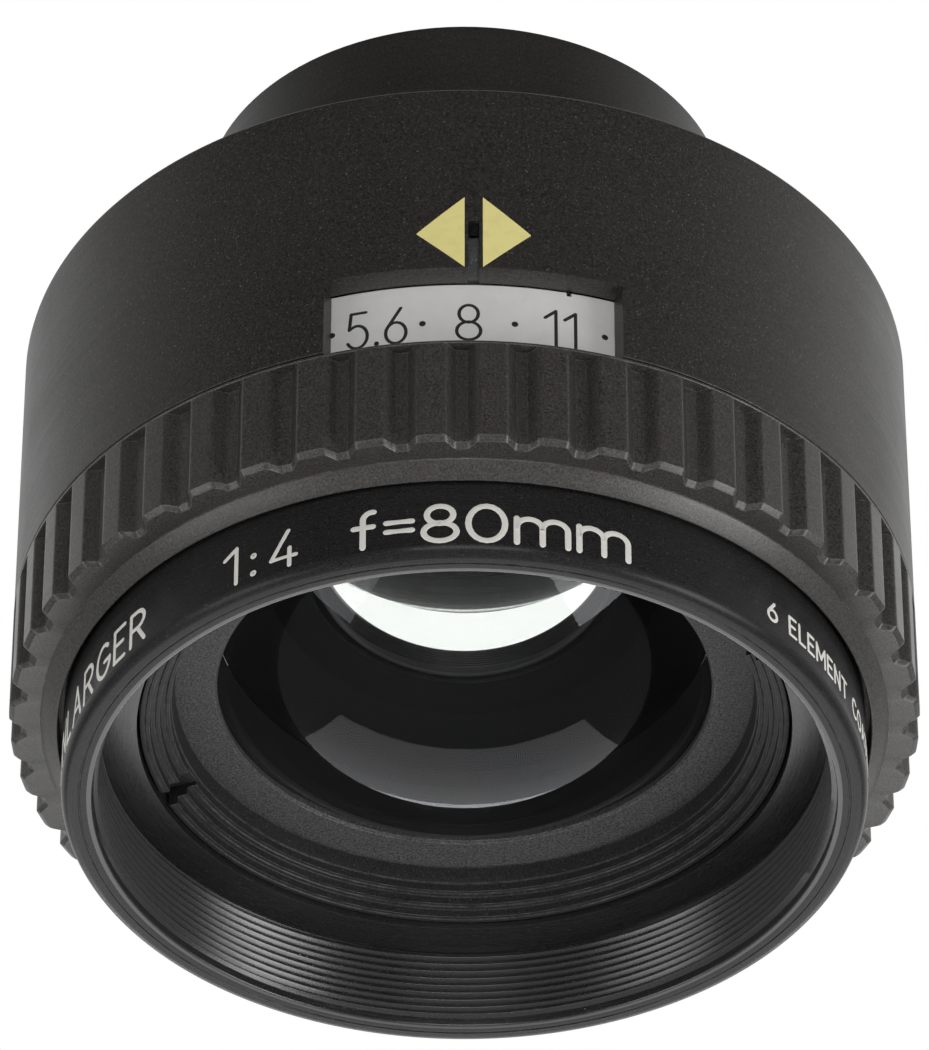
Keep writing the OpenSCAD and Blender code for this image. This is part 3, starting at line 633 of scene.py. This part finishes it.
def make_grip_ring():
    """The ribbed ring: its grooves stop at a thin rim behind and run out through a chamfer in front."""
    outer, lip, rear = span("grip_ring")
    face_z = -25.0
    face_r = 23.3
    lip_r = 22.3
    bore_r = span("aperture_carrier")[0] + 0.02
    bore_z = -24.05
    grooves = 48
    phase = math.radians(INDEX_ANGLE - 1.45)
    depth = 0.65
    floor_half = 0.35
    mouth_half = 0.875
    ease = 0.05
    chamfer = 0.27
    rim = 0.2
    pitch = 2 * math.pi / grooves
    columns_each = 33
    knots = [0.0, floor_half, mouth_half - ease, mouth_half + ease, outer]
    sinks = [depth, depth, 0.07, 0.0, 0.0]

    def groove_depth(offset):
        for k in range(len(knots) - 1):
            if offset <= knots[k + 1]:
                part = (offset - knots[k]) / (knots[k + 1] - knots[k])
                return sinks[k] + (sinks[k + 1] - sinks[k]) * part
        return 0.0

    # Height, share of the groove's depth, and how far the wall stands in
    rows = [(rear, 0, 0.06), (rear - 0.06, 0, 0), (rear - rim + 0.03, 0, 0), (rear - rim, 0, 0.03),
            (rear - rim, 1, 0), (face_z + chamfer, 1, 0), (face_z + 0.04, 1, chamfer - 0.04),
            (face_z, 1, chamfer + 0.03)]
    plain = rounded([(face_r, face_z, 0.08), (lip_r, lip, 0.1), (lip_r, bore_z, 0),
                     (bore_r, bore_z, 0), (bore_r, rear, 0)], 0.1)
    points = []
    columns = grooves * columns_each
    for column in range(columns):
        angle = phase + column * pitch / columns_each
        offset = (column + columns_each // 2) % columns_each - columns_each // 2
        sink = groove_depth(abs(offset) * pitch / columns_each * outer)
        for height, share, inset in rows:
            points.append(polar(outer - sink * share - inset, angle, height))
        for radius, height in plain:
            points.append(polar(radius, angle, height))
    piece = piece_from("aperture_grip", points, ring_faces(columns, len(rows) + len(plain)), 30)
    return fit_out(piece, "aperture_ring", "black_satin", ["grip_ring"], MATERIALS["grip_black"])


def make_front_tube():
    """The fixed tube in front: its filter thread is a true helix, and a fine groove runs round its rim."""
    outer, front, rear = span("front_tube")
    shoulder = -24.4
    skirt_r = 19
    skirt_bore = 18
    shelf = -25.15
    rim = 20.3
    mouth = front + 0.65
    runout = 0.2
    pitch = 0.5
    crest_r = 19.98
    root_r = 20.25
    thread = Thread(mouth, shelf - runout, pitch, crest_r, root_r, 0.2, 0.12)
    groove = [(21.07, front), (21.03, front + 0.05), (20.97, front + 0.05), (20.93, front)]
    rows = [(root_r, shelf), (skirt_bore, shelf), (skirt_bore, rear), (skirt_r, rear), (skirt_r, shoulder)]
    rows += corner((skirt_r, shoulder), (outer, shoulder), (outer, front), 0.15)
    rows += corner((outer, shoulder), (outer, front), (rim, front), 0.6, 10)
    rows += groove
    rows += corner((outer, front), (rim, front), (rim, mouth), 0.1)
    rows += [(rim, front + 0.5)]
    piece = threaded("filter_tube", thread, rows)
    return fit_out(piece, "lens_body", "black_satin", ["front_tube"], MATERIALS["tube_black"])


def make_stepped_ring():
    """The retaining ring behind the filter thread: three treads with chamfers, and two spanner notches."""
    outer, step_z, rear = span("front_retaining_ring")
    first = 17.85
    tread = 0.55
    riser = 0.5
    steps = 3
    skirt_z = -24.0
    outline = []
    for k in range(steps):
        radius = first - k * tread
        height = step_z + k * riser
        foot = radius - tread
        outline += [(radius, height, 0.07), (foot + 0.3, height, 0), (foot + 0.25, height + 0.05, 0),
                    (foot + 0.2, height, 0), (foot, height, 0)]
    inner = first - steps * tread
    inner_z = step_z + steps * riser
    outline += [(inner, inner_z, 0.05), (inner - 0.1, inner_z, 0.03), (inner - 0.25, rear, 0),
                (outer, rear, 0), (outer, skirt_z, 0.1), (first, skirt_z, 0)]
    piece = turned("stepped_ring", rounded(outline, 0.05))
    notches = [block("notch", angle, inner - 0.5, first + 0.5, 0.6, step_z - 0.5, step_z + 1.3)
               for angle in (158, 338)]
    cut(piece, *notches)
    return fit_out(piece, "lens_body", "grey_black", ["front_retaining_ring"])


def make_glass_ring():
    """The flat ring that holds the front glass, with a fine lip; its black is painted lighter, and its lip
    brighter, for the light that falls on them.
    """
    outer, front, rear = span("front_glass_retainer")
    clear = 13.65
    pocket = 14.45
    pocket_z = front + 0.5
    outline = [(clear, front + 0.14, 0.02), (clear + 0.14, front, 0.02), (outer, front, 0.06),
               (outer, rear, 0), (pocket, rear, 0), (pocket, pocket_z, 0), (clear, pocket_z, 0.02)]
    piece = turned("glass_ring", rounded(outline, 0.05))
    # Painted light: the ring takes a lighter copy of its slot's black
    return fit_out(piece, "lens_body", "grey_black", ["front_glass_retainer"], MATERIALS["ring_grey"])


def make_scale_ring():
    """The silvered ring that carries the stops, with a polished bevel and a small witness notch."""
    outer, front, rear = span("scale_ring")
    bore = span("aperture_carrier")[0] + 0.02
    bevel = 0.28
    witness_angle = INDEX_ANGLE + 12.6
    outline = [(outer - bevel, rear, 0.03), (outer, rear - bevel, 0.03), (outer, front, 0.05),
               (bore, front, 0), (bore, rear, 0)]
    piece = turned("scale_band", rounded(outline, 0.05))
    cut(piece, block("witness", witness_angle, outer - 1.2, outer + 0.5, 0.14, rear - 0.5, rear + 1))
    return fit_out(piece, "aperture_ring", "scale_silver", ["scale_ring"])


# ======== Glasses ========

DOUBLET_INDEX = 1.62                 # one index for both glasses, since the face between them is left clear
MENISCUS_INDEX = 1.69
REAR_SCALE = 0.95                    # the rear half mirrors the front half, with its curves at this scale
GLASS_SEGMENTS = 256
GLASS_SHARP = 20


def sag(curve, radius):
    return curve - math.sqrt(curve * curve - radius * radius)


def curve_from(rise, radius):
    """Radius of the sphere that rises by this much over this radius."""
    return (radius * radius + rise * rise) / (2 * rise)


def dome_points(vertex, curve, side, reach, steps=40):
    """Points of a spherical face from the axis out to reach. side = 1 bends towards the rear."""
    points = []
    for i in range(steps + 1):
        radius = reach * i / steps
        points.append((radius, vertex + side * sag(curve, radius)))
    return points


def make_doublets():
    """The crown and the flint of each half, with the cemented face between them left clear."""
    for half, side in (("front", 1), ("rear", -1)):
        crown_r, crown_low, crown_high = span(half + "_crown_glass")
        _, flint_low, flint_high = span(half + "_flint_glass")
        scale = 1.0 if half == "front" else REAR_SCALE
        outer_curve = 19.0 * scale
        hollow_curve = 13.1 * scale
        hollow_r = 9.8 if half == "front" else 9.3
        flat_r = 11.4 if half == "front" else 10.8
        if half == "front":
            vertex, cement, flat, rim = crown_low, crown_high, flint_high, flint_low
            seat = -16.55
        else:
            vertex, cement, flat, rim = crown_high, crown_low, flint_low, flint_high
            seat = 3.25
        cement_curve = curve_from(abs(cement - rim), crown_r)
        hollow_z = flat - side * sag(hollow_curve, hollow_r)
        face = dome_points(vertex, outer_curve, side, crown_r)
        joint = dome_points(cement, cement_curve, -side, crown_r)
        hollow = dome_points(hollow_z, hollow_curve, side, hollow_r)
        cement_place = (cement - side * cement_curve, cement_curve)
        crown = turned(half + "_crown", face + joint[::-1], GLASS_SEGMENTS, GLASS_SHARP)
        flint = turned(half + "_flint", joint + [(crown_r, seat), (flat_r, flat)] + hollow[::-1],
                       GLASS_SEGMENTS, GLASS_SHARP)
        coat = (0.92, 0.93, 1.0) if half == "front" else (0.95, 0.85, 0.92)
        fit_out(crown, "lens_body", "crown_glass", [half + "_crown_glass"],
                glass(half + "_crown_glass", DOUBLET_INDEX, coat, crown_r, cement_place))
        fit_out(flint, "lens_body", "flint_glass", [half + "_flint_glass"],
                glass(half + "_flint_glass", DOUBLET_INDEX, coat, crown_r, cement_place,
                      (hollow_r, cement + side * 0.3, side)))


def make_menisci():
    """The thin curved glass on each side of the iris."""
    near_curve = 20.0
    far_curve = 32.0
    for half in ("front", "rear"):
        radius, low, high = span(half + "_meniscus_glass")
        if half == "front":
            near = dome_points(low, near_curve, 1, radius)
            far = dome_points(low + 2.6, far_curve, 1, radius)
        else:
            near = dome_points(high, near_curve * REAR_SCALE, -1, radius)
            far = dome_points(high - 2.5, far_curve * REAR_SCALE, -1, radius)
        piece = turned(half + "_meniscus", near + far[::-1], GLASS_SEGMENTS, GLASS_SHARP)
        fit_out(piece, "lens_body", "meniscus_glass", [half + "_meniscus_glass"],
                glass(half + "_meniscus_glass", MENISCUS_INDEX, (0.7, 0.9, 0.7), radius))


# ======== Lettering ========

def line(*points):
    return [Vector(p) for p in points]


def oval(x, y, wide, high, start=0.0, end=360.0, steps=20):
    """Part of an ellipse about (x, y); a full turn closes on itself."""
    return [Vector((x + wide * math.cos(math.radians(start + (end - start) * i / steps)),
                    y + high * math.sin(math.radians(start + (end - start) * i / steps))))
            for i in range(steps + 1)]


# Each glyph: its width and its strokes, for a capital of height 1
GLYPHS = {
    "0": (0.78, [oval(0.39, 0.5, 0.39, 0.5, 90, 450)]),
    "1": (0.32, [line((0.0, 0.78), (0.32, 1.0), (0.32, 0.0))]),
    "2": (0.6, [oval(0.3, 0.72, 0.28, 0.28, 165, -20) + line((0.0, 0.0)), line((0.0, 0.0), (0.6, 0.0))]),
    "4": (0.62, [line((0.42, 1.0), (0.0, 0.26), (0.62, 0.26)), line((0.46, 0.5), (0.46, 0.0))]),
    "5": (0.6, [line((0.54, 1.0), (0.1, 1.0), (0.05, 0.55)) + oval(0.28, 0.32, 0.31, 0.32, 125, -150)]),
    "6": (0.6, [oval(0.3, 0.3, 0.3, 0.3, 140, 500), line((0.07, 0.49), (0.44, 1.0))]),
    "8": (0.7, [oval(0.35, 0.75, 0.28, 0.25, 90, 450), oval(0.35, 0.26, 0.35, 0.26, 90, 450)]),
    ".": (0.0, [oval(0.0, 0.05, 0.025, 0.03)]),
    ":": (0.12, [oval(0.06, 0.1, 0.03, 0.03), oval(0.06, 0.6, 0.03, 0.03)]),
    "=": (0.55, [line((0.0, 0.36), (0.55, 0.36)), line((0.0, 0.62), (0.55, 0.62))]),
    "f": (0.46, [oval(0.4, 0.78, 0.2, 0.22, 80, 180) + line((0.2, 0.0)), line((0.0, 0.58), (0.42, 0.58))]),
    "m": (1.1, [line((0.0, 0.0), (0.0, 0.7)),
                line((0.0, 0.42)) + oval(0.275, 0.45, 0.275, 0.25, 170, 0) + line((0.55, 0.0)),
                line((0.55, 0.42)) + oval(0.825, 0.45, 0.275, 0.25, 170, 0) + line((1.1, 0.0))]),
    "A": (0.66, [line((0.0, 0.0), (0.33, 1.0), (0.66, 0.0)), line((0.11, 0.33), (0.55, 0.33))]),
    "C": (0.62, [oval(0.36, 0.5, 0.36, 0.5, 50, 310)]),
    "D": (0.62, [line((0.0, 0.0), (0.0, 1.0), (0.2, 1.0)) + oval(0.2, 0.5, 0.42, 0.5, 90, -90)
                 + line((0.0, 0.0))]),
    "E": (0.48, [line((0.48, 1.0), (0.0, 1.0), (0.0, 0.0), (0.48, 0.0)), line((0.0, 0.52), (0.4, 0.52))]),
    "G": (0.66, [oval(0.36, 0.5, 0.36, 0.5, 50, 340) + line((0.7, 0.45), (0.42, 0.45))]),
    "L": (0.44, [line((0.0, 1.0), (0.0, 0.0), (0.44, 0.0))]),
    "M": (0.78, [line((0.0, 0.0), (0.0, 1.0), (0.39, 0.3), (0.78, 1.0), (0.78, 0.0))]),
    "N": (0.6, [line((0.0, 0.0), (0.0, 1.0), (0.6, 0.0), (0.6, 1.0))]),
    "O": (0.72, [oval(0.36, 0.5, 0.36, 0.5, 90, 450)]),
    "R": (0.58, [line((0.0, 0.0), (0.0, 1.0), (0.26, 1.0)) + oval(0.26, 0.74, 0.3, 0.26, 90, -90)
                 + line((0.0, 0.48)), line((0.28, 0.48), (0.58, 0.0))]),
    "S": (0.56, [oval(0.28, 0.75, 0.27, 0.25, 40, 260, 12) + oval(0.28, 0.25, 0.28, 0.25, 85, -140, 12)]),
    "T": (0.6, [line((0.0, 1.0), (0.6, 1.0)), line((0.3, 1.0), (0.3, 0.0))]),
    " ": (0.35, []),
}


def split_at_corners(points, limit=50.0):
    """A stroke cut into runs without sharp corners, so that each run keeps its full width."""
    runs = [[points[0]]]
    for before, at, after in zip(points, points[1:], points[2:]):
        runs[-1].append(at)
        if (at - before).length and (after - at).length:
            if (at - before).angle(after - at) > math.radians(limit):
                runs.append([at])
    runs[-1].append(points[-1])
    return runs


def bead(points, half, wrap, first):
    """Points and faces of one painted stroke: a low, round-ended bead that follows a curved wall."""
    closed = (points[0] - points[-1]).length < 1e-6
    if closed:
        points = points[:-1]
    count = len(points)
    sections = []
    for i, point in enumerate(points):
        before = points[i - 1] if closed or i else point
        after = points[(i + 1) % count] if closed or i < count - 1 else point
        ahead = (after - before).normalized()
        sections.append((point, ahead, 1.0))
    if not closed:
        start = (points[1] - points[0]).normalized()
        end = (points[-1] - points[-2]).normalized()
        for turn in (35.0, 65.0, 86.0):
            reach = half * math.sin(math.radians(turn))
            share = math.cos(math.radians(turn))
            sections.insert(0, (points[0] - start * reach, start, share))
            sections.append((points[-1] + end * reach, end, share))
    root, shoulder, crown = -0.03, 0.004, 0.014      # heights over the wall, in millimetres
    profile = ((-1.0, root), (-1.0, shoulder), (-0.75, crown), (0.75, crown), (1.0, shoulder), (1.0, root))
    made = []
    for point, ahead, share in sections:
        side = Vector((-ahead.y, ahead.x))
        for across, height in profile:
            made.append(wrap(point + side * across * half * share, height))
    size = len(profile)
    rings = len(sections)
    faces = []
    for k in range(rings if closed else rings - 1):
        here = first + k * size
        there = first + (k + 1) % rings * size
        for i in range(size):
            j = (i + 1) % size
            faces.append((here + i, here + j, there + j, there + i))
    if not closed:
        faces.append(tuple(first + i for i in range(size)))
        faces.append(tuple(first + (rings - 1) * size + i for i in reversed(range(size))))
    return made, faces


def lettering(name, text, wall, angle, base, height, width, body, slot, paint_name,
              spacing=0.22, stretch=1.0):
    """Painted text on a round wall, centred on an angle, reading towards larger angles."""
    total = sum(GLYPHS[c][0] * stretch + spacing for c in text) - spacing
    cursor = -total / 2
    points = []
    faces = []

    def wrap(p, lift):
        return polar(wall + lift, math.radians(angle) + p.x / wall, base + p.y)

    for letter in text:
        advance, strokes = GLYPHS[letter]
        for stroke in (run for whole in strokes for run in split_at_corners(whole)):
            placed = [Vector(((cursor + p.x * stretch) * height, p.y * height)) for p in stroke]
            more_points, more_faces = bead(placed, width / 2, wrap, len(points))
            points += more_points
            faces += more_faces
        cursor += advance * stretch + spacing
    piece = piece_from(name, points, faces, 60)
    return fit_out(piece, body, slot, (), MATERIALS[paint_name])


def make_bezel_text():
    """Focal length, aperture ratio and two plain descriptions, round the front tube."""
    wall = span("front_tube")[0]
    base = -29.5
    height = 2.35
    stroke = 0.34
    lettering("focal_length_text", "f=80mm", wall, INDEX_ANGLE + 2.7, base, height, stroke,
              "lens_body", "black_satin", "white_paint", 0.26, 1.06)
    lettering("aperture_ratio_text", "1:4", wall, INDEX_ANGLE - 30.6, base, height, stroke * 0.75,
              "lens_body", "black_satin", "white_paint", 0.4)
    lettering("type_text", "ENLARGER", wall, INDEX_ANGLE - 70.0, base, height * 0.9, stroke * 0.8,
              "lens_body", "black_satin", "white_paint", 0.3)
    lettering("build_text", "6 ELEMENT COATED LENS", wall, INDEX_ANGLE + 72.5, base + 0.5, height / 2,
              stroke * 0.6, "lens_body", "black_satin", "white_paint", 0.3)


def make_scale_text():
    """Stops at 12 degrees, with a dot for each half stop. The part rests at f/8."""
    wall = span("scale_ring")[0]
    zero_angle = INDEX_ANGLE - 0.6
    base = -17.0
    height = 2.45
    stroke = 0.19
    for place, stop in enumerate(("4", "5.6", "8", "11", "16", "22")):
        lettering("stop_" + stop.replace(".", "_"), stop, wall, zero_angle + (place - 2) * STOP_TURN,
                  base, height, stroke, "aperture_ring", "scale_silver", "black_paint", 0.2, 0.75)
    for place in range(5):
        lettering("half_stop_%d" % (place + 1), ".", wall, zero_angle + (place - 1.5) * STOP_TURN,
                  base + 1.1, height, 0.24, "aperture_ring", "scale_silver", "black_paint")


def make_index():
    """Two yellow triangles that point away from the slot."""
    wall = span("shroud")[0] - PAINT
    top, low, tip_z = -8.05, -13.05, -10.6
    near, tip = 0.49, 3.1
    lift, sink = PAINT, -0.03
    steps = 8
    reach = 0.985                    # the triangles end just short of a point
    for side, name in ((-1, "index_left"), (1, "index_right")):
        points = []
        for k in range(steps + 1):
            share = k / steps * reach
            across = near + (tip - near) * share
            angle = math.radians(INDEX_ANGLE) + side * across / wall
            bottom = low + (tip_z - low) * share
            ceiling = top + (tip_z - top) * share
            for radius, height in ((wall + sink, bottom), (wall + lift, bottom),
                                   (wall + lift, ceiling), (wall + sink, ceiling)):
                points.append(polar(radius, angle, height))
        piece = piece_from(name, points, bar_faces(steps), 40)
        fit_out(piece, "lens_body", "shroud_black", (), MATERIALS["yellow_paint"])


# ======== Stage, light and camera ========

def make_floor():
    """A plain sheet that looks paler to the camera than to the lens, whose flats would mirror it."""
    mesh = bpy.data.meshes.new("floor")
    half = 6.0
    height = -0.95
    mesh.from_pydata([(-half, -half, height), (half, -half, height), (half, half, height),
                      (-half, half, height)], [], [(0, 1, 2, 3)])
    floor = bpy.data.objects.new("floor", mesh)
    bpy.context.scene.collection.objects.link(floor)
    s = Shader("floor_paper")
    fine = s.noise(s.place(), 3.0, 3.0, 0.6)
    seen = s.node("LightPath").outputs["Is Camera Ray"]
    shader = s.node("BsdfPrincipled", {"Base Color": s.colours(fine, (0.66, 0.66, 0.65), (0.69, 0.69, 0.68)),
                                       "Roughness": 0.9, "Emission Color": (1, 1, 1, 1),
                                       "Emission Strength": s.math("MULTIPLY", seen, 0.45)})
    dress(floor, s.finish(shader.outputs[0]))


LOOK_UP = math.radians(39.564)        # the camera looks up at the lens by this much
SIDE_STEP = math.radians(-1.14)       # and stands this far round from the index
DISTANCE = 426.72                     # from the point that it looks at, in millimetres
TARGET_Z = -10.288
SENSOR_WIDTH = 36.0
FOCAL_LENGTH = 260.5


def camera_back():
    """Direction from the target to the camera."""
    flat = Vector((math.sin(SIDE_STEP), -math.cos(SIDE_STEP), 0)) * math.cos(LOOK_UP)
    return flat - Vector((0, 0, math.sin(LOOK_UP)))


def make_camera():
    """A long lens from below the front, as in the photograph."""
    data = bpy.data.cameras.new("camera")
    data.sensor_width = SENSOR_WIDTH
    data.lens = FOCAL_LENGTH
    data.clip_start = 0.01
    data.clip_end = 20.0
    camera = bpy.data.objects.new("camera", data)
    bpy.context.scene.collection.objects.link(camera)
    camera.location = Vector((0, 0, TARGET_Z * MM)) + camera_back() * DISTANCE * MM
    camera.rotation_mode = "QUATERNION"
    camera.rotation_quaternion = (-camera_back()).to_track_quat("-Z", "Y")
    bpy.context.scene.camera = camera


def make_world():
    """White surroundings with a wide soft black flag, on the camera's side and above the lens."""
    world = bpy.data.worlds.new("studio")
    world.use_nodes = True
    tree = world.node_tree
    tree.nodes.clear()

    def add(kind, **settings):
        made = tree.nodes.new("ShaderNode" + kind)
        for key, value in settings.items():
            setattr(made, key, value)
        return made

    ray = add("TexCoord").outputs["Generated"]
    flag = add("VectorMath", operation="DOT_PRODUCT")
    tree.links.new(ray, flag.inputs[0])
    flag.inputs[1].default_value = Vector((-0.09, -0.77, 0.64)).normalized()
    soft = add("MapRange", interpolation_type="SMOOTHSTEP")
    tree.links.new(flag.outputs["Value"], soft.inputs["Value"])
    for key, value in (("From Min", -0.2), ("From Max", 0.85), ("To Min", 1.0), ("To Max", 0.08)):
        soft.inputs[key].default_value = value
    seen = add("LightPath").outputs["Is Camera Ray"]
    strength = add("Math", operation="MAXIMUM")
    tree.links.new(soft.outputs["Result"], strength.inputs[0])
    tree.links.new(seen, strength.inputs[1])
    background = add("Background")
    background.inputs["Color"].default_value = (1.0, 1.0, 1.0, 1.0)
    tree.links.new(strength.outputs[0], background.inputs["Strength"])
    output = add("OutputWorld")
    tree.links.new(background.outputs[0], output.inputs["Surface"])
    bpy.context.scene.world = world


def soft_box(name, place, wide, high, power):
    """A large area lamp that faces the lens."""
    data = bpy.data.lights.new(name, "AREA")
    data.shape = "RECTANGLE"
    data.size = wide
    data.size_y = high
    data.energy = power
    lamp = bpy.data.objects.new(name, data)
    bpy.context.scene.collection.objects.link(lamp)
    lamp.location = place
    lamp.rotation_mode = "QUATERNION"
    lamp.rotation_quaternion = Vector(place).to_track_quat("Z", "Y")
    lamp.visible_camera = False


def make_lamps():
    """A large box below and behind, which the glass shows, a strip, one in front and one on either side."""
    soft_box("back_box", (0.0, 0.80, -0.50), 1.1, 0.55, 2.9)
    soft_box("back_strip", (0.0, 0.98, -0.20), 0.8, 0.14, 1.8)
    soft_box("front_box", (0.0, -0.95, -0.22), 0.5, 0.4, 3.0)
    soft_box("left_box", (-0.62, -0.22, -0.60), 0.35, 0.45, 1.6)
    soft_box("right_box", (0.62, -0.22, -0.60), 0.35, 0.45, 3.6)


# ======== The lens ========

dress_cad_nodes()
make_shroud()
make_grip_ring()
make_front_tube()
make_stepped_ring()
make_glass_ring()
make_scale_ring()
make_doublets()
make_menisci()
make_bezel_text()
make_scale_text()
make_index()
make_floor()
make_world()
make_lamps()
make_camera()
bpy.context.scene.view_settings.view_transform = "Standard"
